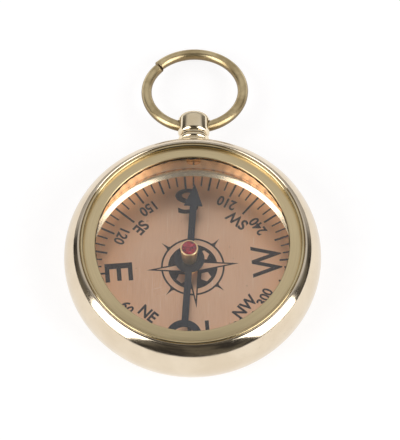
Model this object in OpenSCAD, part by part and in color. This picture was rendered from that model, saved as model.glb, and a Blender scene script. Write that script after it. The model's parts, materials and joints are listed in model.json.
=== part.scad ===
// Open-face pocket compass in turned brass, with a pivoted needle and a bow ring.
// Millimetres. Z is the case's axis, z = 0 is the flat back, and the bow is towards +Y.

/* [Case] */
// Diameter of the case at its widest
case_d = 45; // [42:0.5:52]
// Height of the case's rounded outline, from the flat back to the top of the crown
case_h = 12; // [10.5:0.25:14.5]
// How far the rounded side stands out past the crown's highest circle
side_bulge = 4.5; // [4.3:0.05:4.8]
// Rounding radius of the crown and of the bottom edge
edge_r = 3.8; // [3.5:0.05:4]
// Thickness of the wall at the widest point
wall_t = 3.45; // [3.3:0.05:3.6]
// Thickness of the back
back_t = 1; // [0.8:0.05:1.4]
// Radius of the pressed-in back plate
back_plate_r = 16.5; // [12:0.5:16.5]

/* [Bezel and glass] */
// Width of the ledge that carries the glass
ledge_w = 0.5; // [0.4:0.05:0.6]
// Thickness of the glass
glass_t = 1.2; // [0.9:0.1:1.6]
// Thickness of the seal between the glass and the bezel
seal_t = 0.2; // [0.1:0.05:0.3]
// Width of the flat satin face
face_w = 2.05; // [1.6:0.05:2.6]
// Height that the satin face gains towards the glass
face_rise = 0.35; // [0:0.05:0.35]
// Diameter of the polished bead round the satin face
bead_d = 0.6; // [0.5:0.05:0.7]
// Depth of the bead's top below the crown
bead_drop = 0.4; // [0.3:0.05:0.6]

/* [Dial] */
// Thickness of the dial plate
dial_t = 0.5; // [0.3:0.05:0.8]
// Width of the sloping ring that holds the dial down
dial_ring_w = 1.03; // [0.8:0.05:1.5]
// Height of that ring
dial_ring_h = 1.2; // [0.8:0.1:1.6]
// Thickness of the printed marks
ink_t = 0.03; // [0.02:0.01:0.05]
// Turn of the whole print on the case, in degrees
print_turn = 5.15; // [-10:0.05:10]
// Length of the five-degree marks
tick_short = 1.9; // [1.5:0.1:2.2]
// Length of the fifteen-degree marks
tick_medium = 2.65; // [2.3:0.05:3]
// Length of the four diagonal marks
tick_long = 4.35; // [3.2:0.05:5]
// Outer radius of the rose's ring line
rose_r = 5.6; // [5:0.02:6]
// Radius of the rose's dark disc
rose_disc_r = 4.35; // [3.8:0.05:4.5]
// Reach of the rose's four long points
rose_point_r = 8.1; // [7:0.05:9]

/* [Needle] */
// How far the pivot stands to the side of the case's centre, along X
pivot_shift = -0.57; // [-0.6:0.01:0.6]
// Gap between the needle's tip and the dial ring
tip_gap = 3.2; // [2:0.1:5]
// Gap between the crescent's horns and the dial ring
tail_gap = 1.8; // [1:0.1:3]
// Height of the blade above the dial
needle_lift = 2.9; // [2.4:0.1:3.2]
// Thickness of the blade
blade_t = 0.3; // [0.2:0.05:0.4]
// Width of the blade's stem
stem_w = 1.2; // [0.8:0.05:1.5]
// Width of the arrowhead
head_w = 3.3; // [2.4:0.1:4]
// Length of the arrowhead
head_l = 4.3; // [3.5:0.05:6]
// Radius of the disc in the middle of the blade
hub_r = 2.65; // [2:0.05:3]
// Outer radius of the crescent tail
crescent_r = 3.15; // [2.4:0.05:3.2]
// Width of the crescent's band
crescent_w = 1.1; // [0.6:0.05:1.2]
// Direction of the needle at rest, clockwise from +Y, in degrees
needle_heading = 3.15; // [0:0.05:90]
// Radius of the cap's top
cap_top_r = 1.55; // [1.5:0.01:2]
// Radius of the cap's foot
cap_foot_r = 1.25; // [1.15:0.05:1.4]
// Gap between the jewel and the glass
cap_gap = 0.2; // [0.15:0.05:0.6]

/* [Pendant and bow] */
// Diameter of the pendant's barrel
pendant_d = 5.7; // [5:0.1:6.4]
// Diameter of the collar's foot, where it sits on the case
collar_d = 6.2; // [5.6:0.1:6.4]
// Length of the collar beyond the case's widest point
collar_l = 1.2; // [1.2:0.1:1.8]
// Wire diameter of the bow
bow_wire_d = 1.9; // [1.3:0.05:2.1]
// Outer diameter of the bow
bow_d = 19.35; // [15:0.05:23]
// Slope of the bow at rest, below the horizontal, in degrees
bow_droop = 11.5; // [0:0.5:17]
// Gap between the bow's two ends
bow_gap = 0.3; // [0.1:0.05:0.6]

/* [Fits] */
// Clearance of pressed and seated round pieces, on the radius
seat_fit = 0.02; // [0.01:0.01:0.04]
// Clearance between the glass and its seat, on the radius
glass_fit = 0.1; // [0.05:0.05:0.2]
// Least clearance between the bow and its hole
bow_fit = 0.125; // [0.1:0.025:0.3]

/* [Hidden] */

$fn = 96;
far = 100;
brass = [0.80, 0.68, 0.42];
satin_brass = [0.71, 0.63, 0.48];
old_brass = [0.59, 0.51, 0.33];
copper = [0.75, 0.57, 0.47];
ink = [0.17, 0.13, 0.13];

// Case: the side is one large arc that runs smoothly into a small arc at each edge.
case_r = case_d / 2;
mid_z = case_h / 2;
crown_r = case_r - side_bulge;
arc_rise = mid_z - edge_r;
side_arc_r = (pow(side_bulge, 2) + pow(arc_rise, 2) - pow(edge_r, 2)) / (2 * (side_bulge - edge_r));
side_arc_x = case_r - side_arc_r;
wall_r = case_r - wall_t;
seat_r = wall_r + ledge_w;

// Bezel and glass, from the top down.
bezel_r = seat_r - seat_fit;
bead_top = case_h - bead_drop;
bead_x = bezel_r - bead_d / 2;
face_out_r = bezel_r - bead_d;
face_in_r = face_out_r - face_w;
face_low_z = bead_top - bead_d;
lip_t = 0.28;
lip_z = face_low_z - lip_t;
lip_bevel = 0.12;
glass_top = lip_z - seal_t;
glass_z = glass_top - glass_t;
seal_setback = 0.12;

// Dial.
dial_top = back_t + dial_t;
dial_r = wall_r - 0.1;
dial_ring_in_r = wall_r - dial_ring_w;
ink_top = dial_top + ink_t;
tick_end_r = dial_ring_in_r - 0.04;
short_w = 0.26;
medium_w = 0.35;
line_w = 0.27;

// Pivot and needle.
spigot_r = 0.8;
spigot_z = 0.35;
boss_r = 1.3;
boss_h = 0.6;
pin_r = 0.38;
point_l = 0.7;
blade_z = dial_top + needle_lift;
blade_top = blade_z + blade_t;
needle_tip_r = dial_ring_in_r - tip_gap;
horn_r = dial_ring_in_r - tail_gap;
horn_y = sqrt(pow(horn_r, 2) - pow(crescent_r, 2));
crescent_y = horn_y - 0.9;
rivet_r = 0.98;
rivet_t = 0.45;
cap_bore_r = 0.7;
jewel_crown = 0.15;
jewel_t = 1;
jewel_r = cap_top_r - 0.26;
jewel_top = glass_z - cap_gap;
cap_top = jewel_top - jewel_crown;
jewel_z = cap_top - jewel_t;
cup_r = 0.45;
cup_h = 0.3;
point_play = 0.03;

// Pendant and bow.
collar_r = collar_d / 2;
// the seat is just deep enough for the collar's foot to touch the rounded side all round
seat_y = side_arc_x + sqrt(pow(side_arc_r, 2) - pow(collar_r, 2));
collar_end = case_r + collar_l;
barrel_r = pendant_d / 2;
groove_w = 0.22;
groove_r = barrel_r - 0.4;
barrel_y = collar_end + groove_w;
stem_r = 1.5;
screw_r = 0.9;
screw_head_r = 1.3;
screw_head_t = 0.4;
slot_w = 0.35;
wire_r = bow_wire_d / 2;
bow_r = bow_d / 2 - wire_r;
bow_sag = bow_r - sqrt(pow(bow_r, 2) - pow(barrel_r, 2));
bow_hole_r = wire_r + bow_sag / 2 + bow_fit;
hole_near_wall = 0.6;
hole_far_wall = 0.95;
hinge_y = barrel_y + hole_near_wall + bow_hole_r;
barrel_end = hinge_y + bow_hole_r + hole_far_wall;
dome_r = 1.3;
bow_reach = bow_r - bow_sag / 2;
bow_split_angle = 138;

// A flat ring of rectangular section.
module ring(r_in, r_out, z, h) {
  translate([0, 0, z])
    difference() {
      cylinder(r = r_out, h = h);
      translate([0, 0, -h]) cylinder(r = r_in, h = 3 * h);
    }
}

// A turned shape about +Y at the middle of the case, from an outline in (radius, y).
module turned_on_y() {
  translate([0, 0, mid_z]) rotate([-90, 0, 0]) rotate_extrude() children();
}

module case_outline() {
  // how steeply the two arcs' meeting lines leave the side arc's centre
  slope = arc_rise / (crown_r - side_arc_x);
  translate([crown_r, edge_r]) circle(edge_r);
  translate([crown_r, case_h - edge_r]) circle(edge_r);
  translate([back_plate_r - 1, 0]) square([crown_r - back_plate_r + 1, case_h]);
  intersection() {
    translate([side_arc_x, mid_z]) circle(side_arc_r);
    polygon([[side_arc_x, mid_z], [side_arc_x + far, mid_z - far * slope],
             [side_arc_x + far, mid_z + far * slope]]);
  }
}

module case_body() {
  color(brass) difference() {
    rotate_extrude() difference() {
      case_outline();
      translate([0, -1]) square([back_plate_r, case_h]);
      translate([0, back_t]) square([wall_r, case_h]);
      translate([0, glass_z]) square([seat_r, case_h]);
      // small bevel where the case meets the bezel
      polygon([[seat_r - 0.1, case_h], [seat_r - 0.1, bead_top - 0.1],
               [seat_r, bead_top - 0.1], [seat_r + 0.14, case_h]]);
    }
    // seat of the collar, and the screw's hole
    translate([0, seat_y, mid_z]) rotate([-90, 0, 0]) cylinder(r = collar_r + seat_fit, h = far);
    translate([0, 0, mid_z]) rotate([-90, 0, 0]) cylinder(r = screw_r + seat_fit, h = far);
  }
}

module back_plate() {
  bevel = 0.2;
  color(brass) difference() {
    rotate_extrude()
      polygon([[0, 0], [back_plate_r - bevel, 0], [back_plate_r - seat_fit, bevel],
               [back_plate_r - seat_fit, back_t], [0, back_t]]);
    translate([pivot_shift, 0, spigot_z]) cylinder(r = spigot_r + seat_fit, h = back_t);
  }
}

module bezel_ring() {
  bead_z = face_low_z + bead_d / 2;
  color(satin_brass) {
    rotate_extrude()
      polygon([[face_in_r, lip_z], [face_in_r, face_low_z + face_rise - lip_bevel],
               [face_in_r + lip_bevel, face_low_z + face_rise], [face_out_r, face_low_z],
               [face_out_r, bead_z], [bezel_r, bead_z], [bezel_r, lip_z]]);
    rotate_extrude() intersection() {
      translate([bead_x, bead_z]) circle(bead_d / 2);
      translate([bead_x - bead_d, bead_z]) square(2 * bead_d);
    }
  }
}

module crystal() {
  color([0.85, 0.93, 0.93, 0.35])
    translate([0, 0, glass_z]) cylinder(r = seat_r - glass_fit, h = glass_t);
}

module crystal_gasket() {
  color([0.1, 0.1, 0.1]) ring(face_in_r + seal_setback, seat_r - glass_fit, glass_top, seal_t);
}

module dial_plate() {
  color(copper) difference() {
    translate([0, 0, back_t]) cylinder(r = dial_r, h = dial_t);
    translate([pivot_shift, 0, 0]) cylinder(r = spigot_r + seat_fit, h = far);
  }
}

module dial_ring() {
  ring_r = wall_r - seat_fit;
  color(brass) rotate_extrude()
    polygon([[dial_ring_in_r, dial_top], [ring_r, dial_top], [ring_r, dial_top + dial_ring_h],
             [dial_ring_in_r, dial_top + 0.1]]);
}

module tick(length, width) {
  translate([tick_end_r - length, -width / 2]) square([length, width]);
}

module degree_scale() {
  color(ink) translate([0, 0, dial_top]) rotate([0, 0, print_turn]) linear_extrude(ink_t)
    for (a = [0 : 5 : 355])
      rotate(a)
        if (a % 90 == 45) tick(tick_long, medium_w);
        else if (a % 15 == 0) tick(tick_medium, medium_w);
        else tick(tick_short, short_w);
}

// A four-pointed star that reaches r and is w wide at its notches.
module star(r, w) {
  polygon([for (a = [0 : 45 : 315]) a % 90 == 0 ? r * [cos(a), sin(a)] : w * [cos(a), sin(a)]]);
}

module compass_rose() {
  notch_r = 1.45;
  window_x = 2.97;
  window_r = 0.98;
  thorn_r = rose_r + 1.6;
  thorn_half = 6;
  color(ink) translate([0, 0, dial_top]) rotate([0, 0, print_turn]) linear_extrude(ink_t) {
    difference() {
      union() {
        difference() {
          circle(rose_r);
          circle(rose_r - line_w - 0.05);
        }
        circle(rose_disc_r);
        star(rose_point_r, notch_r);
      }
      star(rose_point_r - 6 * line_w, notch_r - 1.35 * line_w);
      for (a = [45 : 90 : 315])
        rotate(a) translate([window_x, 0]) rotate(180) circle(window_r, $fn = 5);
      rotate(-print_turn) translate([pivot_shift, 0]) circle(boss_r + 0.1);
    }
    for (a = [45 : 90 : 315])
      rotate(a)
        polygon([(rose_r - line_w / 2) * [cos(thorn_half), -sin(thorn_half)], [rose_r + 0.25, -0.22],
                 [thorn_r, 0], [rose_r + 0.25, 0.22],
                 (rose_r - line_w / 2) * [cos(thorn_half), sin(thorn_half)]]);
  }
}

// Moves a piece that stands on the pivot to the pivot's place.
module on_pivot() {
  translate([pivot_shift, 0, 0]) children();
}

module pivot_base() {
  bevel = 0.2;
  color(brass) on_pivot() difference() {
    rotate_extrude()
      polygon([[0, spigot_z], [spigot_r, spigot_z], [spigot_r, dial_top], [boss_r, dial_top],
               [boss_r, dial_top + boss_h - bevel], [boss_r - bevel, dial_top + boss_h],
               [0, dial_top + boss_h]]);
    cylinder(r = pin_r + seat_fit, h = far);
  }
}

module pivot_pin() {
  pin_top = jewel_z + cup_h - point_play;
  color("silver") on_pivot() rotate_extrude()
    polygon([[0, spigot_z], [pin_r, spigot_z], [pin_r, pin_top - point_l], [0.04, pin_top],
             [0, pin_top]]);
}

module arrow_and_stem() {
  barb_y = needle_tip_r - head_l;
  stem_end = -crescent_y + crescent_r - crescent_w / 2;
  polygon([[0, needle_tip_r], [head_w / 2, barb_y], [stem_w / 2, barb_y],
           [stem_w / 2, stem_end], [-stem_w / 2, stem_end],
           [-stem_w / 2, barb_y], [-head_w / 2, barb_y]]);
}

module crescent() {
  difference() {
    translate([0, -crescent_y]) circle(crescent_r);
    translate([0, -crescent_y - 0.2]) circle(crescent_r - crescent_w);
    translate([-far / 2, -horn_y - far]) square(far);
  }
}

module needle_blade() {
  color([0.24, 0.24, 0.27]) on_pivot() rotate([0, 0, -needle_heading])
    translate([0, 0, blade_z]) difference() {
      union() {
        linear_extrude(blade_t) arrow_and_stem();
        cylinder(r = hub_r, h = blade_t);
        linear_extrude(blade_t) crescent();
      }
      translate([0, 0, -1]) cylinder(r = rivet_r + seat_fit, h = 3);
    }
}

module needle_collar() {
  color(brass) on_pivot() ring(rivet_r + seat_fit, rivet_r + 0.6, blade_z - rivet_t, rivet_t);
}

module needle_cap() {
  rim_bevel = 0.08;
  color(brass) on_pivot() rotate_extrude()
    polygon([[cap_bore_r, blade_z - rivet_t], [rivet_r, blade_z - rivet_t], [rivet_r, blade_top],
             [cap_foot_r, blade_top], [cap_top_r, cap_top - rim_bevel],
             [cap_top_r - rim_bevel, cap_top], [jewel_r + seat_fit, cap_top],
             [jewel_r + seat_fit, jewel_z], [cap_bore_r, jewel_z]]);
}

module cap_jewel() {
  table_r = jewel_r - 0.35;
  color("crimson") on_pivot() rotate_extrude()
    polygon([[0, jewel_z + cup_h], [cup_r, jewel_z], [jewel_r, jewel_z], [jewel_r, cap_top],
             [table_r, jewel_top], [0, jewel_top]]);
}

module pendant_collar() {
  bead_r = 0.75;
  neck_r = barrel_r - 0.05;
  color(brass) turned_on_y() difference() {
    union() {
      polygon([[0, seat_y], [collar_r, seat_y], [collar_r, case_r - 0.1], [neck_r, case_r + 0.45],
               [neck_r, collar_end - bead_r / 2], [neck_r - 0.25, collar_end], [0, collar_end]]);
      translate([neck_r - bead_r + 0.1, collar_end - bead_r]) circle(bead_r - 0.05);
    }
    translate([-1, seat_y - 1]) square([stem_r + seat_fit + 1, far]);
  }
}

module pendant() {
  color(brass) difference() {
    turned_on_y() {
      translate([0, seat_y]) square([stem_r, collar_end - seat_y + 0.1]);
      translate([0, collar_end]) square([groove_r, groove_w + 0.1]);
      polygon([[0, barrel_y], [barrel_r - 0.15, barrel_y], [barrel_r, barrel_y + 0.15],
               [barrel_r, barrel_end - dome_r], [0, barrel_end - dome_r]]);
      translate([0, barrel_end - dome_r - 0.1]) square([barrel_r - dome_r, dome_r + 0.1]);
      intersection() {
        translate([barrel_r - dome_r, barrel_end - dome_r]) circle(dome_r);
        translate([0, barrel_y]) square([far, far]);
      }
    }
    translate([-far / 2, hinge_y, mid_z]) rotate([0, 90, 0]) cylinder(r = bow_hole_r, h = far);
    translate([0, seat_y - 1, mid_z]) rotate([-90, 0, 0])
      cylinder(r = screw_r + seat_fit, h = collar_end - seat_y + 1);
  }
}

module pendant_screw() {
  // the head's flat underside just touches the curved wall at its two sides
  head_y = sqrt(pow(wall_r, 2) - pow(screw_head_r, 2)) - seat_fit;
  color(brass) difference() {
    turned_on_y() {
      translate([0, head_y - screw_head_t]) square([screw_head_r, screw_head_t]);
      translate([0, head_y - 0.05]) square([screw_r, collar_end - head_y - 0.1]);
    }
    translate([-far / 2, head_y - screw_head_t - 0.01, mid_z - slot_w / 2]) cube([far, 0.2, slot_w]);
  }
}

module bow_ring() {
  split = bow_gap / bow_r * 180 / PI;
  color(old_brass) translate([0, hinge_y, mid_z]) rotate([-bow_droop, 0, 0])
    translate([0, bow_reach, 0]) rotate([0, 0, bow_split_angle + split / 2])
      rotate_extrude(angle = 360 - split) translate([bow_r, 0]) circle(wire_r);
}

case_body();
back_plate();
bezel_ring();
crystal();
crystal_gasket();
dial_plate();
dial_ring();
degree_scale();
compass_rose();
pivot_base();
pivot_pin();
needle_blade();
needle_collar();
needle_cap();
cap_jewel();
pendant_collar();
pendant();
pendant_screw();
bow_ring();
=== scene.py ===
"""An open-face brass pocket compass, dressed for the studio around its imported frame."""
import json
import math

import bpy
from mathutils import Matrix, Vector

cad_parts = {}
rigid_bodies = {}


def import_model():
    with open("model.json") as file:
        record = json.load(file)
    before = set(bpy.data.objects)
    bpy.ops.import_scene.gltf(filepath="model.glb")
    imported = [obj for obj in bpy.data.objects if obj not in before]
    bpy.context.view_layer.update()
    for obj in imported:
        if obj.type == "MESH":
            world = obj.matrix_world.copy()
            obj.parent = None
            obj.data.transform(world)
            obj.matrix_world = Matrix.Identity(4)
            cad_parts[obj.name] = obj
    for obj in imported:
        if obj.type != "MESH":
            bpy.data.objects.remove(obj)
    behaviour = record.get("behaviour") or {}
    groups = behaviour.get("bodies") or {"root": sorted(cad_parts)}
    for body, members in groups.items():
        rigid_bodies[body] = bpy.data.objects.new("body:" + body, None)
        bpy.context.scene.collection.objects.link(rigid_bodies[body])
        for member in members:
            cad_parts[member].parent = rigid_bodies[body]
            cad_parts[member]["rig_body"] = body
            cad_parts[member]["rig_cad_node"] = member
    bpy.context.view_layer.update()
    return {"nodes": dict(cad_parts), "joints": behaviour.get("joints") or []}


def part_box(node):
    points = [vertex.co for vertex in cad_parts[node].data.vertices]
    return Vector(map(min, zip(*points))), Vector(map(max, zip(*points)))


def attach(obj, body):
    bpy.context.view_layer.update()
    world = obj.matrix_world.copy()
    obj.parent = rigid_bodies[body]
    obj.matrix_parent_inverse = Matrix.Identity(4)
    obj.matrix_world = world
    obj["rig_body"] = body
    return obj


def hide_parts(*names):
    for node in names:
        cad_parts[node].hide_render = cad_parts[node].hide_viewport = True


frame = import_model()

# ------------------------------------------------------------------ sizes, in metres
MM = 0.001
JOINT = {j["name"]: j for j in frame["joints"]}

CASE_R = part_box("case_body")[1].x
MID_Z = JOINT["bow_swing"]["pos_m"][2]
SIDE_BULGE = 4.5 * MM
EDGE_R = 3.8 * MM
FIT_GAP = 0.02 * MM
WALL_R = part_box("dial_ring")[1].x + FIT_GAP
SEAT_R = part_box("bezel_ring")[1].x + FIT_GAP
BACK_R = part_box("back_plate")[1].x
BACK_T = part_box("back_plate")[1].z
GLASS_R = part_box("crystal")[1].x
GLASS_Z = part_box("crystal")[0].z
GLASS_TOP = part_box("crystal")[1].z
BEZEL_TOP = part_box("bezel_ring")[1].z
LIP_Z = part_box("bezel_ring")[0].z
BEAD_D = 0.6 * MM
FACE_W = 2.05 * MM
FACE_RISE = 0.35 * MM
DIAL_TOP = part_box("dial_plate")[1].z
DIAL_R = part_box("dial_plate")[1].x
INK_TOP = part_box("degree_scale")[1].z
# where the scratch patch gathers on the dial; its lighter scratches also paint in a sheen there
RUB_SHEEN_PLACE = (-5.0 * MM, -4.8 * MM, 0)
RUB_SHEEN_CORE = 1.2 * MM
RUB_SHEEN_EDGE = 3.2 * MM
DIAL_RING_W = 1.03 * MM
DIAL_RING_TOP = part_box("dial_ring")[1].z
PRINT_TURN = math.radians(5.15)
PIVOT_X = JOINT["needle_spin"]["pos_m"][0]
ON_PIVOT = Matrix.Translation((PIVOT_X, 0, 0))
BLADE_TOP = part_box("needle_blade")[1].z
HEADING = math.radians(3.15)
HINGE_Y = JOINT["bow_swing"]["pos_m"][1]
BARREL_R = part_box("pendant")[1].x
WIRE_R = 0.95 * MM
BOW_R = (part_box("bow_ring")[1].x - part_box("bow_ring")[0].x) / 2 - WIRE_R
BOW_SAG = BOW_R - math.sqrt(BOW_R ** 2 - BARREL_R ** 2)
BOW_REACH = BOW_R - BOW_SAG / 2
HOLE_GAP = 0.125 * MM
HOLE_R = WIRE_R + BOW_SAG / 2 + HOLE_GAP
DROOP = math.radians(11.5)
BOW_SPLIT = math.radians(138)
BOW_HALF_GAP = 0.22 * MM
BOW_TIGHTER = 0.046
BOW_LIFT = 0.08 * MM

# the lettering, all in one place: letter, dial angle, width and height in millimetres
QUARTERS = (("N", 0, 3.8, 4.8), ("E", 90, 3.6, 4.85), ("S", 180, 3.9, 4.95), ("W", 270, 6.1, 5.3))
HALF_QUARTERS = (("NE", 45), ("SE", 135), ("SW", 225), ("NW", 315))
QUARTER_AT = 13.05 * MM
HALF_QUARTER_AT = 12.0 * MM
NUMBER_AT = 13.95 * MM

# studio
PAPER_GLOW = 0.76
LAMP_SIZE = (0.66, 1.04)
LAMP_POWER = 7.4
LEFT_LAMP = (-0.77, -0.41, 0.52)
RIGHT_LAMP = (0.79, -0.38, 0.52)
LENS = 277
CAMERA_STAND = Vector((1.39, -265.3, 535.2)) * MM
CAMERA_DOWN = math.radians(62.76)
CAMERA_ROLL = math.radians(-0.9)
CAMERA_SIDE = math.radians(1.25)

# steps round a turned piece, and the distance under which points are one
BIG_TURN = 256
SMALL_TURN = 96
MERGE = 0.001 * MM


# ------------------------------------------------------------------ outlines
def arc(x, z, radius, start, end, steps=10):
    """Points on a circle from one angle to another, in degrees."""
    angles = [math.radians(start + (end - start) * i / steps) for i in range(steps + 1)]
    return [(x + radius * math.cos(a), z + radius * math.sin(a)) for a in angles]


def rounded(points, radius, steps=4):
    """A closed outline with each corner turned by a small curve."""
    out = []
    for i, corner in enumerate(points):
        p = Vector(corner)
        a = Vector(points[i - 1]) - p
        b = Vector(points[(i + 1) % len(points)]) - p
        cut = min(radius, a.length * 0.45, b.length * 0.45)
        start, end = p + a.normalized() * cut, p + b.normalized() * cut
        for k in range(steps + 1):
            t = k / steps
            out.append(tuple(start * (1 - t) ** 2 + p * 2 * t * (1 - t) + end * t ** 2))
    return out


# ------------------------------------------------------------------ modelling
def select_only(piece):
    bpy.ops.object.select_all(action="DESELECT")
    piece.select_set(True)
    bpy.context.view_layer.objects.active = piece


def finish_piece(piece, name, body, materials, sharp=30):
    """Names a piece, smooths it, and lets it ride on its body."""
    piece.name = name
    piece.data.name = name
    select_only(piece)
    bpy.ops.object.transform_apply(location=True, rotation=True, scale=True)
    bpy.ops.object.shade_smooth_by_angle(angle=math.radians(sharp))
    piece.data.materials.clear()
    for material in materials:
        piece.data.materials.append(material)
    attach(piece, body)
    return piece


def turned(outline, steps=BIG_TURN, closed=True, place=Matrix.Identity(4)):
    """A lathe-turned piece: one point is drawn out along the outline, then the line is spun about Z."""
    bpy.ops.object.select_all(action="DESELECT")
    bpy.ops.mesh.primitive_plane_add(size=MM)
    piece = bpy.context.object
    bpy.ops.object.mode_set(mode="EDIT")
    bpy.ops.mesh.select_mode(type="VERT")
    bpy.ops.mesh.select_all(action="SELECT")
    bpy.ops.mesh.merge(type="CENTER")
    bpy.ops.transform.translate(value=(outline[0][0], 0, outline[0][1]))
    path = outline + outline[:1] if closed else outline
    for here, there in zip(path, path[1:]):
        move = (there[0] - here[0], 0, there[1] - here[1])
        bpy.ops.mesh.extrude_region_move(TRANSFORM_OT_translate={"value": move})
    bpy.ops.mesh.select_all(action="SELECT")
    bpy.ops.mesh.remove_doubles(threshold=MERGE)
    bpy.ops.mesh.spin(steps=steps, angle=2 * math.pi, center=(0, 0, 0), axis=(0, 0, 1),
                      use_auto_merge=True)
    bpy.ops.mesh.select_all(action="SELECT")
    bpy.ops.mesh.remove_doubles(threshold=MERGE)
    bpy.ops.mesh.normals_make_consistent(inside=False)
    bpy.ops.object.mode_set(mode="OBJECT")
    piece.data.transform(place)
    return piece


def cut_with(piece, cutter):
    """Takes the cutter's shape out of a piece."""
    modifier = piece.modifiers.new("cut", "BOOLEAN")
    modifier.operation = "DIFFERENCE"
    modifier.solver = "EXACT"
    modifier.object = cutter
    select_only(piece)
    bpy.ops.object.modifier_apply(modifier=modifier.name)
    bpy.data.objects.remove(cutter)


def soften(piece, width, segments, above):
    """Rounds the edges that are sharper than an angle in degrees."""
    modifier = piece.modifiers.new("soften", "BEVEL")
    modifier.width = width
    modifier.segments = segments
    modifier.limit_method = "ANGLE"
    modifier.angle_limit = math.radians(above)
    select_only(piece)
    bpy.ops.object.modifier_apply(modifier=modifier.name)


def faces_to_slot(piece, index, wanted):
    """Gives the second material to the faces whose centre passes the test."""
    for face in piece.data.polygons:
        if wanted(face.center):
            face.material_index = index


# ------------------------------------------------------------------ shader groups
def new_group(name, inputs, outputs):
    group = bpy.data.node_groups.new(name, "ShaderNodeTree")
    for label, kind, value in inputs:
        socket = group.interface.new_socket(label, in_out="INPUT", socket_type=kind)
        socket.default_value = value
    for label, kind in outputs:
        group.interface.new_socket(label, in_out="OUTPUT", socket_type=kind)
    return group, group.nodes.new("NodeGroupInput"), group.nodes.new("NodeGroupOutput")


def math_node(tree, operation, a, b=None, clamp=False):
    node = tree.nodes.new("ShaderNodeMath")
    node.operation = operation
    node.use_clamp = clamp
    for socket, value in zip(node.inputs, (a, b)):
        if value is None:
            continue
        if isinstance(value, (int, float)):
            socket.default_value = value
        else:
            tree.links.new(value, socket)
    return node.outputs[0]


def ramp(tree, value, low, high, to_low=0.0, to_high=1.0):
    node = tree.nodes.new("ShaderNodeMapRange")
    node.interpolation_type = "SMOOTHSTEP"
    tree.links.new(value, node.inputs["Value"])
    for label, number in (("From Min", low), ("From Max", high), ("To Min", to_low), ("To Max", to_high)):
        node.inputs[label].default_value = number
    return node.outputs["Result"]


def noise(tree, vector, scale, detail=3.0, roughness=0.55):
    node = tree.nodes.new("ShaderNodeTexNoise")
    tree.links.new(vector, node.inputs["Vector"])
    node.inputs["Scale"].default_value = scale
    node.inputs["Detail"].default_value = detail
    node.inputs["Roughness"].default_value = roughness
    return node.outputs["Fac"]


def mapping(tree, vector, turn=(0, 0, 0), scale=(1, 1, 1), shift=(0, 0, 0)):
    node = tree.nodes.new("ShaderNodeMapping")
    tree.links.new(vector, node.inputs["Vector"])
    node.inputs["Rotation"].default_value = turn
    node.inputs["Scale"].default_value = scale
    node.inputs["Location"].default_value = shift
    return node.outputs["Vector"]


def hairlines_group():
    """Fine straight scratches in several directions, as polished metal picks up."""
    group, start, end = new_group(
        "hairlines",
        [("Vector", "NodeSocketVector", (0, 0, 0)), ("Amount", "NodeSocketFloat", 1.0)],
        [("Mask", "NodeSocketFloat")])
    total = None
    for turn, scale, cut in ((0.4, 5200, 0.72), (1.5, 7100, 0.73), (2.5, 6000, 0.72), (-0.7, 4300, 0.73)):
        vector = mapping(group, start.outputs["Vector"], turn=(turn * 0.1, turn * 0.15, turn),
                         scale=(1, 0.035, 0.12))
        line = ramp(group, noise(group, vector, scale, 1.0), cut, cut + 0.05)
        total = line if total is None else math_node(group, "MAXIMUM", total, line)
    group.links.new(math_node(group, "MULTIPLY", total, start.outputs["Amount"]), end.inputs["Mask"])
    return group


def turning_group():
    """Fine rings round the Z axis, as a lathe or a turning brush leaves."""
    group, start, end = new_group(
        "turning_rings",
        [("Vector", "NodeSocketVector", (0, 0, 0)), ("Fineness", "NodeSocketFloat", 6000.0)],
        [("Rings", "NodeSocketFloat")])
    split = group.nodes.new("ShaderNodeSeparateXYZ")
    group.links.new(start.outputs["Vector"], split.inputs[0])
    flat = group.nodes.new("ShaderNodeCombineXYZ")
    group.links.new(split.outputs["X"], flat.inputs["X"])
    group.links.new(split.outputs["Y"], flat.inputs["Y"])
    length = group.nodes.new("ShaderNodeVectorMath")
    length.operation = "LENGTH"
    group.links.new(flat.outputs[0], length.inputs[0])
    round_part = group.nodes.new("ShaderNodeVectorMath")
    round_part.operation = "NORMALIZE"
    group.links.new(flat.outputs[0], round_part.inputs[0])
    wide = group.nodes.new("ShaderNodeVectorMath")
    wide.operation = "SCALE"
    group.links.new(round_part.outputs[0], wide.inputs[0])
    wide.inputs["Scale"].default_value = 2.2
    lifted = group.nodes.new("ShaderNodeCombineXYZ")
    depth = math_node(group, "MULTIPLY", split.outputs["Z"], 1.3)
    reach = math_node(group, "ADD", length.outputs["Value"], depth)
    group.links.new(math_node(group, "MULTIPLY", reach, start.outputs["Fineness"]), lifted.inputs["Z"])
    both = group.nodes.new("ShaderNodeVectorMath")
    both.operation = "ADD"
    group.links.new(wide.outputs[0], both.inputs[0])
    group.links.new(lifted.outputs[0], both.inputs[1])
    group.links.new(noise(group, both.outputs[0], 1.0, 2.0), end.inputs["Rings"])
    return group


def tarnish_group():
    """Soft cloudy patches, for handling marks and uneven lacquer."""
    group, start, end = new_group(
        "tarnish",
        [("Vector", "NodeSocketVector", (0, 0, 0)), ("Size", "NodeSocketFloat", 1.0)],
        [("Cloud", "NodeSocketFloat"), ("Specks", "NodeSocketFloat")])
    sized = group.nodes.new("ShaderNodeVectorMath")
    sized.operation = "SCALE"
    group.links.new(start.outputs["Vector"], sized.inputs[0])
    group.links.new(start.outputs["Size"], sized.inputs["Scale"])
    group.links.new(ramp(group, noise(group, sized.outputs[0], 120, 4.0), 0.35, 0.68), end.inputs["Cloud"])
    group.links.new(ramp(group, noise(group, sized.outputs[0], 1500, 2.0), 0.72, 0.76), end.inputs["Specks"])
    return group


HAIRLINES = hairlines_group()
TURNING = turning_group()
TARNISH = tarnish_group()


def put_group(tree, group, **values):
    node = tree.nodes.new("ShaderNodeGroup")
    node.node_tree = group
    for label, value in values.items():
        if isinstance(value, (int, float)):
            node.inputs[label].default_value = value
        else:
            tree.links.new(value, node.inputs[label])
    return node


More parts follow.
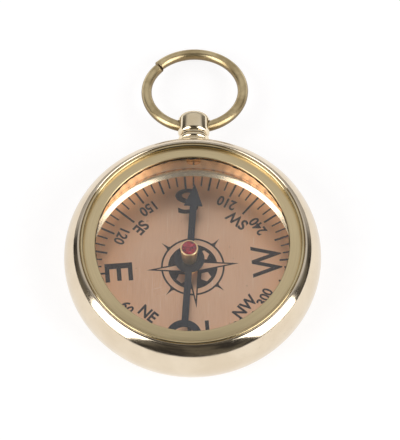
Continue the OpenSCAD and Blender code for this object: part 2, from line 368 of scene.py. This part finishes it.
def new_material(name):
    material = bpy.data.materials.new(name)
    material.use_nodes = True
    tree = material.node_tree
    shader = tree.nodes["Principled BSDF"]
    coords = tree.nodes.new("ShaderNodeTexCoord").outputs["Object"]
    return material, tree, shader, coords


def mix_colour(tree, factor, a, b, blend="MIX"):
    node = tree.nodes.new("ShaderNodeMix")
    node.data_type = "RGBA"
    node.blend_type = blend
    if isinstance(factor, (int, float)):
        node.inputs["Factor"].default_value = factor
    else:
        tree.links.new(factor, node.inputs["Factor"])
    for socket, value in ((node.inputs["A"], a), (node.inputs["B"], b)):
        if isinstance(value, tuple):
            socket.default_value = (*value, 1)
        else:
            tree.links.new(value, socket)
    return node.outputs["Result"]


def bump(tree, height, strength, distance, base=None):
    node = tree.nodes.new("ShaderNodeBump")
    node.inputs["Strength"].default_value = strength
    node.inputs["Distance"].default_value = distance
    tree.links.new(height, node.inputs["Height"])
    if base is not None:
        tree.links.new(base, node.inputs["Normal"])
    return node.outputs["Normal"]


# ------------------------------------------------------------------ materials
def polished_metal(name, light, dark, rough, rough_worn, scratch=0.5, cloud_size=1.0, centre=(0, 0, 0),
                   turn=(0, 0, 0), rings=0.0, wobble=0.0, sides_tarnish_and_shade=None):
    """Polished metal with a faint cloud of tarnish, hairlines and, where it was turned, fine rings; given a
    side colour, it also paints shade on the sides of a wire.
    """
    material, tree, shader, coords = new_material(name)
    local = mapping(tree, coords, turn=turn, shift=centre)
    tarnish = put_group(tree, TARNISH, Vector=coords, Size=cloud_size)
    hair = put_group(tree, HAIRLINES, Vector=coords, Amount=scratch)
    turning = put_group(tree, TURNING, Vector=local, Fineness=9000.0)
    colour = mix_colour(tree, tarnish.outputs["Cloud"], light, dark)
    colour = mix_colour(tree, math_node(tree, "MULTIPLY", tarnish.outputs["Specks"], 0.35), colour,
                        tuple(c * 0.45 for c in dark))
    if sides_tarnish_and_shade is not None:
        # painted shade: where the wire faces sideways or down it takes the darker brown, standing in for the
        # dark room it mirrors, along with some tarnish; its top keeps the lighter brass
        upright = tree.nodes.new("ShaderNodeSeparateXYZ")
        tree.links.new(tree.nodes.new("ShaderNodeTexCoord").outputs["Normal"], upright.inputs[0])
        colour = mix_colour(tree, ramp(tree, upright.outputs["Z"], 0.30, 0.85), sides_tarnish_and_shade, colour)
    tree.links.new(colour, shader.inputs["Base Color"])
    worn = math_node(tree, "MAXIMUM", hair.outputs["Mask"],
                     math_node(tree, "MULTIPLY", tarnish.outputs["Cloud"], 0.35))
    tree.links.new(ramp(tree, worn, 0.0, 1.0, rough, rough_worn), shader.inputs["Roughness"])
    height = math_node(tree, "ADD", math_node(tree, "MULTIPLY", hair.outputs["Mask"], -1.0),
                       math_node(tree, "MULTIPLY", turning.outputs["Rings"], rings))
    wave = math_node(tree, "MULTIPLY", noise(tree, coords, 260, 2.0), wobble)
    hand_finish = bump(tree, wave, 1.0, 0.03 * MM)
    tree.links.new(bump(tree, height, 0.08, 0.004 * MM, hand_finish), shader.inputs["Normal"])
    shader.inputs["Metallic"].default_value = 1.0
    return material


def satin_metal(name, light, dark, rough):
    """Metal brushed in rings round the case's axis."""
    material, tree, shader, coords = new_material(name)
    turning = put_group(tree, TURNING, Vector=coords, Fineness=14000.0)
    coarse = put_group(tree, TURNING, Vector=coords, Fineness=4200.0)
    tarnish = put_group(tree, TARNISH, Vector=coords, Size=1.4)
    lines = math_node(tree, "ADD", math_node(tree, "MULTIPLY", turning.outputs["Rings"], 0.6),
                      math_node(tree, "MULTIPLY", coarse.outputs["Rings"], 0.4))
    colour = mix_colour(tree, ramp(tree, lines, 0.38, 0.62), dark, light)
    colour = mix_colour(tree, math_node(tree, "MULTIPLY", tarnish.outputs["Cloud"], 0.35), colour, dark)
    tree.links.new(colour, shader.inputs["Base Color"])
    tree.links.new(ramp(tree, lines, 0.3, 0.7, rough - 0.05, rough + 0.07), shader.inputs["Roughness"])
    tree.links.new(bump(tree, lines, 0.35, 0.01 * MM), shader.inputs["Normal"])
    shader.inputs["Metallic"].default_value = 1.0
    return material


def rubbed_spot(tree, coords):
    """A patch of crossing scratches beside the rose, lighter than the copper, that also paints in the light
    sheen at the dial's lower left.
    """
    away = tree.nodes.new("ShaderNodeVectorMath")
    away.operation = "DISTANCE"
    tree.links.new(mapping(tree, coords, scale=(1, 1, 0)), away.inputs[0])
    away.inputs[1].default_value = RUB_SHEEN_PLACE
    near = ramp(tree, away.outputs["Value"], RUB_SHEEN_CORE, RUB_SHEEN_EDGE, 0.75, 0.0)
    masks = []
    for turn, size in ((0.5, 0.42), (1.3, 0.6)):
        vector = mapping(tree, coords, turn=(0, 0, turn), scale=(size, size, size))
        masks.append(put_group(tree, HAIRLINES, Vector=vector, Amount=1.0).outputs["Mask"])
    return math_node(tree, "MULTIPLY", math_node(tree, "MAXIMUM", masks[0], masks[1]), near)


def dial_copper():
    """Copper-coloured dial: fine upright brushing, a few crossing scratches and dark specks; the copper turns
    a brighter orange towards the rim as a painted reflection of the lit brass wall, and the scratches gather
    at the lower left into a lighter patch that is also painted sheen.
    """
    material, tree, shader, coords = new_material("dial_copper")
    brushed = noise(tree, mapping(tree, coords, turn=(0, 0, 0.06), scale=(1, 0.05, 1)), 9000, 3.0)
    tarnish = put_group(tree, TARNISH, Vector=coords, Size=1.0)
    hair = put_group(tree, HAIRLINES, Vector=coords, Amount=1.0)
    colour = mix_colour(tree, ramp(tree, brushed, 0.3, 0.7), (0.74, 0.435, 0.28), (0.80, 0.50, 0.33))
    colour = mix_colour(tree, math_node(tree, "MULTIPLY", tarnish.outputs["Cloud"], 0.45), colour,
                        (0.80, 0.535, 0.375))
    # painted reflection: towards the rim the copper is mixed to a bright orange, standing in for the lamp-lit
    # brass wall mirrored in the dial
    reach = tree.nodes.new("ShaderNodeVectorMath")
    reach.operation = "LENGTH"
    tree.links.new(mapping(tree, coords, scale=(1, 1, 0)), reach.inputs[0])
    rim = ramp(tree, reach.outputs["Value"], 0.5 * DIAL_R, DIAL_R, 0.0, 0.9)
    colour = mix_colour(tree, rim, colour, (0.94, 0.50, 0.265))
    # partly wear, partly painted sheen: scratches mixed towards a pale copper in a patch at the lower left
    rub_and_sheen = rubbed_spot(tree, coords)
    marks = math_node(tree, "MAXIMUM", math_node(tree, "MULTIPLY", hair.outputs["Mask"], 0.4), rub_and_sheen)
    colour = mix_colour(tree, marks, colour,
                        (0.94, 0.78, 0.66))
    colour = mix_colour(tree, math_node(tree, "MULTIPLY", tarnish.outputs["Specks"], 0.5), colour,
                        (0.20, 0.11, 0.08))
    tree.links.new(colour, shader.inputs["Base Color"])
    tree.links.new(ramp(tree, brushed, 0.2, 0.8, 0.30, 0.40), shader.inputs["Roughness"])
    height = math_node(tree, "ADD", brushed, math_node(tree, "MULTIPLY", hair.outputs["Mask"], -0.8))
    tree.links.new(bump(tree, height, 0.25, 0.006 * MM), shader.inputs["Normal"])
    shader.inputs["Metallic"].default_value = 1.0
    return material


def printing_ink():
    """Dark brown-black print, thin and greyer in patches."""
    material, tree, shader, coords = new_material("printing_ink")
    grain = noise(tree, coords, 9000, 3.0)
    patches = noise(tree, coords, 900, 3.0)
    colour = mix_colour(tree, ramp(tree, grain, 0.35, 0.7), (0.018, 0.012, 0.012), (0.045, 0.032, 0.030))
    colour = mix_colour(tree, ramp(tree, patches, 0.5, 0.8, 0.0, 0.6), colour, (0.075, 0.052, 0.045))
    tree.links.new(colour, shader.inputs["Base Color"])
    tree.links.new(ramp(tree, patches, 0.3, 0.7, 0.42, 0.6), shader.inputs["Roughness"])
    tree.links.new(bump(tree, grain, 0.15, 0.004 * MM), shader.inputs["Normal"])
    shader.inputs["Specular IOR Level"].default_value = 0.35
    return material


def blackened_steel():
    """Chemically blackened steel with its grain along the needle."""
    material, tree, shader, coords = new_material("blackened_steel")
    along = noise(tree, mapping(tree, coords, turn=(0, 0, HEADING), scale=(1, 0.06, 1)), 4200, 3.0)
    tarnish = put_group(tree, TARNISH, Vector=coords, Size=2.2)
    colour = mix_colour(tree, ramp(tree, along, 0.3, 0.7), (0.020, 0.021, 0.027), (0.040, 0.040, 0.048))
    colour = mix_colour(tree, math_node(tree, "MULTIPLY", tarnish.outputs["Cloud"], 0.4), colour,
                        (0.055, 0.052, 0.054))
    tree.links.new(colour, shader.inputs["Base Color"])
    tree.links.new(ramp(tree, along, 0.2, 0.8, 0.42, 0.55), shader.inputs["Roughness"])
    tree.links.new(bump(tree, along, 0.2, 0.004 * MM), shader.inputs["Normal"])
    shader.inputs["Metallic"].default_value = 0.5
    return material


def red_jewel():
    """Red glass stone: small patches of slightly different reds, as over a foiled back."""
    material, tree, shader, coords = new_material("red_jewel")
    cells = tree.nodes.new("ShaderNodeTexVoronoi")
    cells.inputs["Scale"].default_value = 2300
    tree.links.new(coords, cells.inputs["Vector"])
    shade = tree.nodes.new("ShaderNodeSeparateXYZ")
    tree.links.new(cells.outputs["Color"], shade.inputs[0])
    deep, bright = (0.07, 0.002, 0.007), (0.34, 0.010, 0.024)
    colour = mix_colour(tree, ramp(tree, shade.outputs["X"], 0.1, 0.9), deep, bright)
    colour = mix_colour(tree, ramp(tree, shade.outputs["Y"], 0.80, 0.95, 0.0, 0.5), colour, (0.50, 0.07, 0.10))
    tree.links.new(colour, shader.inputs["Base Color"])
    tree.links.new(ramp(tree, shade.outputs["Z"], 0.0, 1.0, 0.08, 0.3), shader.inputs["Roughness"])
    tree.links.new(bump(tree, cells.outputs["Distance"], 0.3, 0.05 * MM), shader.inputs["Normal"])
    shader.inputs["Coat Weight"].default_value = 0.3
    shader.inputs["IOR"].default_value = 1.55
    return material


def clear_glass():
    """Flat compass glass that lets the lamps through to the dial."""
    material, tree, shader, _ = new_material("clear_glass")
    shader.inputs["Base Color"].default_value = (0.985, 0.995, 0.99, 1)
    shader.inputs["Roughness"].default_value = 0.0
    shader.inputs["IOR"].default_value = 1.47
    shader.inputs["Transmission Weight"].default_value = 1.0
    through = tree.nodes.new("ShaderNodeBsdfTransparent")
    rays = tree.nodes.new("ShaderNodeLightPath")
    mix = tree.nodes.new("ShaderNodeMixShader")
    lamp_or_bounce = math_node(tree, "MAXIMUM", rays.outputs["Is Shadow Ray"], rays.outputs["Is Diffuse Ray"])
    tree.links.new(lamp_or_bounce, mix.inputs[0])
    tree.links.new(shader.outputs[0], mix.inputs[1])
    tree.links.new(through.outputs[0], mix.inputs[2])
    tree.links.new(mix.outputs[0], tree.nodes["Material Output"].inputs["Surface"])
    return material


def dark_seal():
    """Lumpy dark sealing compound, dark enough to stand as painted shade along the glass edge."""
    material, tree, shader, coords = new_material("dark_seal")
    lumps = noise(tree, coords, 1400, 4.0)
    tree.links.new(mix_colour(tree, ramp(tree, lumps, 0.4, 0.7), (0.012, 0.011, 0.010), (0.06, 0.052, 0.04)),
                   shader.inputs["Base Color"])
    tree.links.new(ramp(tree, lumps, 0.3, 0.7, 0.45, 0.8), shader.inputs["Roughness"])
    tree.links.new(bump(tree, lumps, 0.5, 0.05 * MM), shader.inputs["Normal"])
    return material


CASE_BRASS = polished_metal("case_brass", (0.775, 0.67, 0.52), (0.71, 0.60, 0.45), 0.10, 0.24, 0.6,
                            rings=0.12, wobble=1.0)
# painted light: the case's inner wall and step get a paler, brighter copy of the case brass, standing in for
# the lamp light on the wall
BRIGHTENED_INNER_BRASS = polished_metal("inner_brass_brightened", (0.97, 0.92, 0.78), (0.92, 0.85, 0.70), 0.30, 0.40, 0.3,
                             rings=0.3)
# painted light: the dial ring's brass is a brighter copy of the case brass, so the ring looks lamp-lit
BRIGHTENED_CONE_BRASS = polished_metal("cone_brass_brightened", (0.88, 0.74, 0.53), (0.81, 0.66, 0.46), 0.24, 0.34, 0.3,
                            rings=1.2)
FITTING_BRASS = polished_metal("fitting_brass", (0.92, 0.80, 0.59), (0.82, 0.68, 0.46), 0.10, 0.28, 0.6,
                               cloud_size=2.5, turn=(math.pi / 2, 0, 0), centre=(0, -MID_Z, 0), rings=0.5)
CAP_BRASS = polished_metal("cap_brass", (0.96, 0.74, 0.42), (0.86, 0.62, 0.34), 0.30, 0.45, 0.5,
                           cloud_size=3.0, rings=0.8)
# old brass for the bow: its dark side colour is painted shade for the dark room the wire's sides mirror, with
# some tarnish
OLD_BRASS = polished_metal("old_brass", (0.74, 0.60, 0.35), (0.47, 0.36, 0.19), 0.30, 0.44, 0.9,
                           cloud_size=2.2, sides_tarnish_and_shade=(0.23, 0.165, 0.085))
PIN_STEEL = polished_metal("pin_steel", (0.60, 0.60, 0.62), (0.45, 0.45, 0.47), 0.15, 0.3, 0.4)
BEAD_BRASS = polished_metal("bead_brass", (0.67, 0.55, 0.33), (0.57, 0.45, 0.26), 0.12, 0.25, 0.3,
                            cloud_size=2.0, rings=0.5)
SATIN_BRASS = satin_metal("satin_brass", (0.76, 0.625, 0.38), (0.69, 0.56, 0.33), 0.36)
DIAL_COPPER = dial_copper()
INK = printing_ink()
BLACK_STEEL = blackened_steel()
JEWEL = red_jewel()
GLASS = clear_glass()
SEAL_AND_EDGE_SHADE = dark_seal()


# ------------------------------------------------------------------ case
def make_case():
    """Turned bowl: rounded edges, a full side, a step for the glass and a seat for the back."""
    crown_r = CASE_R - SIDE_BULGE
    rise = MID_Z - EDGE_R
    side_r = (SIDE_BULGE ** 2 + rise ** 2 - EDGE_R ** 2) / (2 * (SIDE_BULGE - EDGE_R))
    side_x = CASE_R - side_r
    meet = math.degrees(math.atan2(rise, crown_r - side_x))
    brim = math.degrees(math.acos((SEAT_R + 0.14 * MM - crown_r) / EDGE_R))
    outside = (arc(crown_r, EDGE_R, EDGE_R, -90, -meet, 16)[:-1]
               + arc(side_x, MID_Z, side_r, -meet, meet, 28)[:-1]
               + arc(crown_r, 2 * MID_Z - EDGE_R, EDGE_R, meet, brim, 10))
    seam_z = BEZEL_TOP - 0.1 * MM
    inside = rounded([outside[-1], (SEAT_R, seam_z), (SEAT_R, GLASS_Z), (WALL_R, GLASS_Z), (WALL_R, BACK_T),
                      (BACK_R, BACK_T), (BACK_R, 0)], 0.06 * MM, 3)
    case = turned(outside[:-1] + inside)
    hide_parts("case_body")
    finish_piece(case, "case_shell", "case", [CASE_BRASS, BRIGHTENED_INNER_BRASS], 34)
    # the inner wall and step take the brightened copy of the brass, painted light
    faces_to_slot(case, 1, lambda at: math.hypot(at.x, at.y) < SEAT_R + 0.01 * MM and at.z > BACK_T)


def make_back_plate():
    """Flat disc let into the back, with a softened rim."""
    bevel = 0.2 * MM
    plate_top = BACK_T - 0.05 * MM
    outline = [(0, 0)] + [(BACK_R * k / 8, 0) for k in range(1, 8)] + [
        (BACK_R - bevel, 0), (BACK_R - 0.4 * bevel, 0.2 * bevel), (BACK_R, bevel),
        (BACK_R, plate_top), (0, plate_top)]
    plate = turned(outline, closed=False)
    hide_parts("back_plate")
    finish_piece(plate, "back_cover", "case", [CASE_BRASS])


def make_bezel():
    """Satin ring that slopes up to its inner lip, with a polished bead round the outside."""
    bead_r = BEAD_D / 2
    out_r = SEAT_R - FIT_GAP
    face_out = out_r - BEAD_D
    face_in = face_out - FACE_W
    low = BEZEL_TOP - BEAD_D
    lip_bevel = 0.12 * MM
    lip = rounded([(face_in, LIP_Z), (face_in, low + FACE_RISE - lip_bevel),
                   (face_in + lip_bevel, low + FACE_RISE), (face_out, low)], 0.05 * MM, 3)
    bead = arc(out_r - bead_r, low + bead_r, bead_r, 180, 0, 16)
    bezel = turned(lip[:-2] + [(face_out - 0.02 * MM, low + 0.004 * MM), (face_out, low + 0.02 * MM)] + bead
                   + [(out_r, LIP_Z)])
    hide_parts("bezel_ring")
    finish_piece(bezel, "bezel", "case", [SATIN_BRASS, BEAD_BRASS], 34)
    polished_r, polished_z = face_out - 0.03 * MM, LIP_Z + 0.45 * MM
    faces_to_slot(bezel, 1, lambda at: math.hypot(at.x, at.y) > polished_r or at.z < polished_z)


def make_gasket():
    """The seal ring reaches out a little unevenly under the lip, so that its dark edge shows there as painted
    shade along the glass edge.
    """
    gasket_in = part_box("bezel_ring")[1].x - BEAD_D - FACE_W + FIT_GAP
    gasket = turned(rounded([(gasket_in, GLASS_TOP), (GLASS_R, GLASS_TOP), (GLASS_R, LIP_Z),
                             (gasket_in, LIP_Z)], 0.04 * MM, 3))
    # painted shade: the inner edge is pulled inwards so the dark seal shows as the shaded line at the glass
    # edge
    for vertex in gasket.data.vertices:
        r = math.hypot(vertex.co.x, vertex.co.y)
        if r < gasket_in + 0.1 * MM:
            a = math.atan2(vertex.co.y, vertex.co.x)
            waves = math.sin(23 * a + 1) + math.sin(41 * a) + math.sin(67 * a + 2)
            edge_shade_reach = (0.09 + 0.03 * waves) * MM
            vertex.co.x *= 1 - edge_shade_reach / r
            vertex.co.y *= 1 - edge_shade_reach / r
    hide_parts("crystal_gasket")
    finish_piece(gasket, "glass_seal", "case", [SEAL_AND_EDGE_SHADE])


def make_dial_ring():
    """Ring with an even slope and a steep lip against the wall."""
    inner, outer = WALL_R - DIAL_RING_W, WALL_R - FIT_GAP
    low = DIAL_TOP + 0.1 * MM
    steps = 16
    cove = []
    for i in range(steps + 1):
        t = 1 - i / steps
        rise = 0.56 * t + 0.44 * t ** 7
        cove.append((inner + (outer - inner) * t, low + (DIAL_RING_TOP - low) * rise))
    ring = turned([(inner, DIAL_TOP), (outer, DIAL_TOP)] + cove)
    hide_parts("dial_ring")
    finish_piece(ring, "dial_retainer", "case", [BRIGHTENED_CONE_BRASS])


# ------------------------------------------------------------------ print
def write(words, size, width_scale=1.0, weight=0.0):
    """Raised lettering, centred on the origin, with capitals as tall as size."""
    bpy.ops.object.select_all(action="DESELECT")
    bpy.ops.object.text_add(location=(0, 0, 0))
    piece = bpy.context.object
    piece.data.body = words
    piece.data.size = 1.0
    piece.data.extrude = 0.01
    piece.data.offset = weight
    piece.data.resolution_u = 6
    bpy.ops.object.convert(target="MESH")
    points = piece.data.vertices
    xs = [point.co.x for point in points]
    ys = [point.co.y for point in points]
    mid_x, mid_y = (min(xs) + max(xs)) / 2, (min(ys) + max(ys)) / 2
    tall = size / (max(ys) - min(ys))
    for point in points:
        point.co.x = (point.co.x - mid_x) * tall * width_scale
        point.co.y = (point.co.y - mid_y) * tall
        point.co.z = INK_TOP if point.co.z > 0 else DIAL_TOP
    return piece


def set_round(piece, radius, dial_angle):
    """Places lettering on the dial with its top towards the centre."""
    around = -math.pi / 2 - math.radians(dial_angle) + PRINT_TURN
    piece.data.transform(Matrix.Rotation(around, 4, "Z") @ Matrix.Translation((radius, 0, 0))
                         @ Matrix.Rotation(math.pi / 2, 4, "Z"))
    return piece


def join(pieces, name):
    """Makes one printed piece of several."""
    select_only(pieces[0])
    for piece in pieces:
        piece.select_set(True)
    bpy.ops.object.join()
    finish_piece(pieces[0], name, "case", [INK])


def make_lettering():
    big = []
    for letter, angle, width, tall in QUARTERS:
        piece = write(letter, tall * MM, weight=0.013)
        span = max(point.co.x for point in piece.data.vertices) * 2
        piece.data.transform(Matrix.Diagonal((width * MM / span, 1, 1, 1)))
        big.append(set_round(piece, QUARTER_AT, angle))
    join(big, "quarter_letters")
    small = [set_round(write(word, 2.15 * MM, 0.92, weight=0.028), HALF_QUARTER_AT, angle)
             for word, angle in HALF_QUARTERS]
    join(small, "half_quarter_letters")
    numbers = [set_round(write(str(angle), 1.95 * MM, 0.88, weight=0.024), NUMBER_AT, angle)
               for angle in range(30, 360, 30) if angle % 90]
    join(numbers, "degree_numbers")


# ------------------------------------------------------------------ needle
def make_cap():
    """Tall tapered cap, riveted through the blade and open at the top for the jewel."""
    lo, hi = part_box("needle_cap")
    top_r, foot_r, top = hi.x - PIVOT_X, 1.25 * MM, hi.z
    bore_r, rivet_r = 0.7 * MM, 0.98 * MM
    jewel_r = top_r - 0.24 * MM
    jewel_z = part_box("cap_jewel")[0].z
    wall = [(bore_r, lo.z), (rivet_r, lo.z), (rivet_r, BLADE_TOP), (foot_r, BLADE_TOP),
            (foot_r + 0.03 * MM, BLADE_TOP + 0.35 * MM), (top_r - 0.03 * MM, top - 0.5 * MM),
            (top_r, top - 0.1 * MM), (top_r - 0.09 * MM, top), (jewel_r, top), (jewel_r, jewel_z),
            (bore_r, jewel_z)]
    cap = turned(rounded(wall, 0.05 * MM, 3), SMALL_TURN, place=ON_PIVOT)
    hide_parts("needle_cap")
    finish_piece(cap, "cap", "needle", [CAP_BRASS])


def make_jewel():
    """A rose-cut stone: rings of flat facets round a low point."""
    facets = 14
    lo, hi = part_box("cap_jewel")
    girdle_z = hi.z - 0.15 * MM
    stone_r = hi.x - PIVOT_X
    outline = [(0, lo.z + 0.3 * MM), (0.45 * MM, lo.z), (stone_r, lo.z), (stone_r, girdle_z),
               (stone_r * 0.74, hi.z - 0.06 * MM), (stone_r * 0.4, hi.z - 0.005 * MM), (0, hi.z)]
    stone = turned(outline, facets, closed=False)
    for vertex in stone.data.vertices:
        r = math.hypot(vertex.co.x, vertex.co.y)
        if 0.5 * stone_r < r < 0.9 * stone_r and vertex.co.z > girdle_z:
            vertex.co = Matrix.Rotation(math.pi / facets, 3, "Z") @ vertex.co
    stone.data.transform(ON_PIVOT)
    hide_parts("cap_jewel")
    finish_piece(stone, "jewel", "needle", [JEWEL], 5)


def make_blade():
    """A copy of the frame's blade, merged, with its long edges softened."""
    source = frame["nodes"]["needle_blade"]
    blade = source.copy()
    blade.data = source.data.copy()
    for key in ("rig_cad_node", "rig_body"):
        del blade[key]
    blade.parent = None
    bpy.context.scene.collection.objects.link(blade)
    select_only(blade)
    bpy.ops.object.mode_set(mode="EDIT")
    bpy.ops.mesh.select_all(action="SELECT")
    bpy.ops.mesh.remove_doubles(threshold=0.0005 * MM)
    bpy.ops.mesh.dissolve_limited(angle_limit=math.radians(1))
    bpy.ops.object.mode_set(mode="OBJECT")
    soften(blade, 0.05 * MM, 2, 40)
    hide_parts("needle_blade")
    finish_piece(blade, "blade", "needle", [BLACK_STEEL], 12)


# ------------------------------------------------------------------ pendant and bow
ALONG_Y = Matrix.Translation((0, 0, MID_Z)) @ Matrix.Rotation(-math.pi / 2, 4, "X")


def make_collar():
    """Foot let into the case, a fillet, then one fat bead."""
    lo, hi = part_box("pendant_collar")
    foot_r, start, end = hi.x, lo.y, hi.y
    bore = 1.52 * MM
    bead_r = 0.58 * MM
    bead_x = BARREL_R - bead_r - 0.06 * MM
    bead_y = end - bead_r - 0.02 * MM
    outline = [(bore, start), (foot_r, start), (foot_r, CASE_R - 0.35 * MM)]
    outline += arc(foot_r + 0.02 * MM, CASE_R + 0.02 * MM, 0.28 * MM, 250, 175, 4)
    outline += arc(bead_x, bead_y, bead_r, -40, 84, 12)
    outline += [(bead_x - 0.3 * MM, end - 0.01 * MM), (bead_x - 0.35 * MM, end), (bore, end)]
    collar = turned(outline, SMALL_TURN, place=ALONG_Y)
    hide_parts("pendant_collar")
    finish_piece(collar, "collar", "case", [FITTING_BRASS], 40)


def make_pendant():
    """Barrel with a well rounded lower edge and a domed top, drilled across for the bow."""
    lo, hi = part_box("pendant")
    end = hi.y
    barrel_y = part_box("pendant_collar")[1].y + 0.22 * MM
    neck_r = BARREL_R - 0.3 * MM
    neck_y = barrel_y - 0.215 * MM
    stem_r = 1.48 * MM
    low_r = 1.05 * MM
    dome_r = 1.3 * MM
    outline = [(0, lo.y), (stem_r, lo.y), (stem_r, neck_y), (neck_r, neck_y),
               (neck_r, barrel_y - 0.02 * MM)]
    outline += arc(BARREL_R - low_r, barrel_y + 0.85 * low_r, low_r, -50, 0, 10)
    outline += arc(BARREL_R - dome_r, end - dome_r, dome_r, 0, 78, 14)
    outline += [(BARREL_R - dome_r - 0.1 * MM, end - 0.012 * MM), (0, end)]
    pendant = turned(outline, SMALL_TURN, closed=False, place=ALONG_Y)
    bpy.ops.object.select_all(action="DESELECT")
    bpy.ops.mesh.primitive_cylinder_add(vertices=64, radius=HOLE_R, depth=4 * BARREL_R,
                                        location=(0, HINGE_Y, MID_Z), rotation=(0, math.pi / 2, 0))
    drill = bpy.context.object
    cut_with(pendant, drill)
    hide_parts("pendant")
    finish_piece(pendant, "pendant_barrel", "case", [FITTING_BRASS], 40)


def make_bow():
    """Wire ring, split at the upper left, with its two ends a little out of line."""
    half_gap = BOW_HALF_GAP / BOW_R
    bpy.ops.object.select_all(action="DESELECT")
    bpy.ops.mesh.primitive_circle_add(vertices=28, radius=WIRE_R, fill_type="NGON")
    bow = bpy.context.object
    bow.data.transform(Matrix.Translation((BOW_R, 0, 0)) @ Matrix.Rotation(math.pi / 2, 4, "X"))
    bpy.ops.object.mode_set(mode="EDIT")
    bpy.ops.mesh.select_all(action="SELECT")
    bpy.ops.mesh.spin(steps=200, angle=2 * math.pi - 2 * half_gap, center=(0, 0, 0), axis=(0, 0, 1))
    bpy.ops.mesh.select_all(action="SELECT")
    bpy.ops.mesh.normals_make_consistent(inside=False)
    bpy.ops.object.mode_set(mode="OBJECT")
    bow.data.transform(Matrix.Rotation(BOW_SPLIT + half_gap, 4, "Z"))
    hinge_angle = math.radians(270)
    for vertex in bow.data.vertices:
        angle = math.atan2(vertex.co.y, vertex.co.x) % (2 * math.pi)
        if BOW_SPLIT < angle < hinge_angle:
            # this half closes a little tighter and higher, so the ends stand apart
            share = (hinge_angle - angle) / (hinge_angle - BOW_SPLIT)
            vertex.co.x *= 1 - BOW_TIGHTER * share ** 3
            vertex.co.y *= 1 - BOW_TIGHTER * share ** 3
            vertex.co.z += BOW_LIFT * share ** 3
    bow.data.transform(Matrix.Translation((0, HINGE_Y, MID_Z)) @ Matrix.Rotation(-DROOP, 4, "X")
                       @ Matrix.Translation((0, BOW_REACH, 0)))
    soften(bow, 0.07 * MM, 3, 60)
    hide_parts("bow_ring")
    finish_piece(bow, "bow", "bow", [OLD_BRASS], 40)


# ------------------------------------------------------------------ frame nodes that stay
def dress_frame_nodes():
    """The pieces that keep the frame's shape get their finish."""
    finishes = {"crystal": GLASS, "dial_plate": DIAL_COPPER, "degree_scale": INK, "compass_rose": INK,
                "pivot_base": CAP_BRASS, "pivot_pin": PIN_STEEL, "needle_collar": CAP_BRASS,
                "pendant_screw": FITTING_BRASS}
    for node, material in finishes.items():
        for slot in frame["nodes"][node].material_slots:
            slot.link = "OBJECT"
            slot.material = material


# ------------------------------------------------------------------ studio
def make_floor():
    """Wide sheet of pale paper, lit from inside so that it stays even."""
    bpy.ops.object.select_all(action="DESELECT")
    bpy.ops.mesh.primitive_plane_add(size=6.0, location=(0, 0, 0))
    floor = bpy.context.object
    floor.name = "studio_floor"
    material, tree, shader, coords = new_material("studio_paper")
    fibres = noise(tree, coords, 400, 2.0)
    paper = mix_colour(tree, fibres, (0.30, 0.30, 0.30), (0.34, 0.34, 0.34))
    tree.links.new(paper, shader.inputs["Base Color"])
    shader.inputs["Emission Color"].default_value = (1.0, 0.995, 1.0, 1)
    shader.inputs["Emission Strength"].default_value = PAPER_GLOW
    shader.inputs["Roughness"].default_value = 0.9
    shader.inputs["Specular IOR Level"].default_value = 0.1
    floor.data.materials.append(material)


def make_room():
    """A dim room in front, with a pale tent over the back for the brass to mirror."""
    world = bpy.context.scene.world or bpy.data.worlds.new("studio")
    bpy.context.scene.world = world
    world.use_nodes = True
    tree = world.node_tree
    sky = tree.nodes["Background"]
    direction = tree.nodes.new("ShaderNodeTexCoord").outputs["Generated"]
    split = tree.nodes.new("ShaderNodeSeparateXYZ")
    tree.links.new(direction, split.inputs[0])
    tent = math_node(tree, "MULTIPLY", ramp(tree, split.outputs["Y"], -0.12, 0.32),
                     ramp(tree, split.outputs["Z"], 0.30, 0.62))
    low_back = math_node(tree, "MULTIPLY", ramp(tree, split.outputs["Y"], 0.42, 0.66),
                         ramp(tree, split.outputs["Z"], 0.01, 0.07))
    glow = math_node(tree, "MAXIMUM", tent, math_node(tree, "MULTIPLY", low_back, 0.7))
    folds = noise(tree, direction, 2.6, 2.0)
    room = mix_colour(tree, ramp(tree, folds, 0.4, 0.65), (0.034, 0.031, 0.029), (0.135, 0.125, 0.105))
    tree.links.new(mix_colour(tree, glow, room, (0.66, 0.655, 0.66)), sky.inputs["Color"])
    sky.inputs["Strength"].default_value = 1.0


def make_lamps():
    for name, place in (("softbox_left", LEFT_LAMP), ("softbox_right", RIGHT_LAMP)):
        lamp = bpy.data.lights.new(name, "AREA")
        lamp.shape = "RECTANGLE"
        lamp.size, lamp.size_y = LAMP_SIZE
        lamp.energy = LAMP_POWER
        lamp.color = (1.0, 0.985, 0.97)
        softbox = bpy.data.objects.new(name, lamp)
        softbox.location = place
        softbox.rotation_mode = "QUATERNION"
        softbox.rotation_quaternion = (-Vector(place)).to_track_quat("-Z", "Y")
        bpy.context.scene.collection.objects.link(softbox)


def make_camera():
    """A long lens, looking steeply down from the near side and a little askew."""
    forward = Vector((0, math.cos(CAMERA_DOWN), -math.sin(CAMERA_DOWN)))
    up = Vector((0, math.sin(CAMERA_DOWN), math.cos(CAMERA_DOWN)))
    right = Vector((1, 0, 0))
    turned_right = right * math.cos(CAMERA_ROLL) + up * math.sin(CAMERA_ROLL)
    turned_up = up * math.cos(CAMERA_ROLL) - right * math.sin(CAMERA_ROLL)
    camera = bpy.data.objects.new("camera", bpy.data.cameras.new("camera"))
    axes = Matrix((turned_right, turned_up, -forward)).transposed().to_4x4()
    stand = Matrix.Translation(CAMERA_STAND)
    camera.matrix_world = Matrix.Rotation(CAMERA_SIDE, 4, "Z") @ stand @ axes
    camera.data.sensor_fit = "AUTO"
    camera.data.sensor_width = 36
    camera.data.lens = LENS
    camera.data.clip_start = 0.01
    camera.data.clip_end = 10
    bpy.context.scene.collection.objects.link(camera)
    bpy.context.scene.camera = camera
    bpy.context.scene.view_settings.view_transform = "Standard"


make_camera()
make_case()
make_back_plate()
make_bezel()
make_gasket()
make_dial_ring()
make_lettering()
make_cap()
make_jewel()
make_blade()
make_collar()
make_pendant()
make_bow()
dress_frame_nodes()
make_floor()
make_room()
make_lamps()
